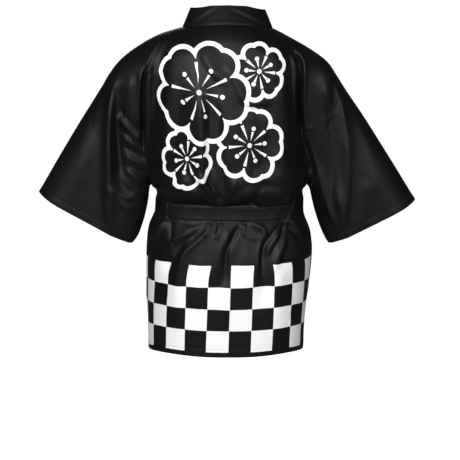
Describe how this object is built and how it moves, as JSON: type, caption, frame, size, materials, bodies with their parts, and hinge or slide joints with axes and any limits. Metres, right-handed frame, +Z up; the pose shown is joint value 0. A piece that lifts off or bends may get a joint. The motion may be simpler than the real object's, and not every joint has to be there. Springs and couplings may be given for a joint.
{
  "type": "happi coat",
  "caption": "Open-fronted festival coat of black cloth with wide sleeves, a stiff collar band, a narrow tied belt, a white-line flower on the back and black and white checks above the hem.",
  "frame": {"origin": "middle of the neck, level with the points where neck and shoulder meet, where the wearer's shoulders carry the coat", "axes": "+X to the wearer's left, +Y to the wearer's back, +Z up"},
  "size_m": [0.866, 0.275, 0.7827],
  "materials": {
    "coat_cloth": "black polyester of a plain close weave with a soft satin sheen, printed in white on the back and above the hem",
    "collar_cloth": "the same black cloth folded round a stiffener",
    "belt_cloth": "the same black cloth sewn double, with a duller face"
  },
  "bodies": {
    "root": {"back_panel": "coat_cloth", "front_left": "coat_cloth", "front_right": "coat_cloth", "sleeve_left": "coat_cloth", "sleeve_right": "coat_cloth", "collar_band": "collar_cloth", "belt_band": "belt_cloth", "belt_knot": "belt_cloth", "belt_tail_left": "belt_cloth", "belt_tail_right": "belt_cloth"}
  },
  "joints": []
}
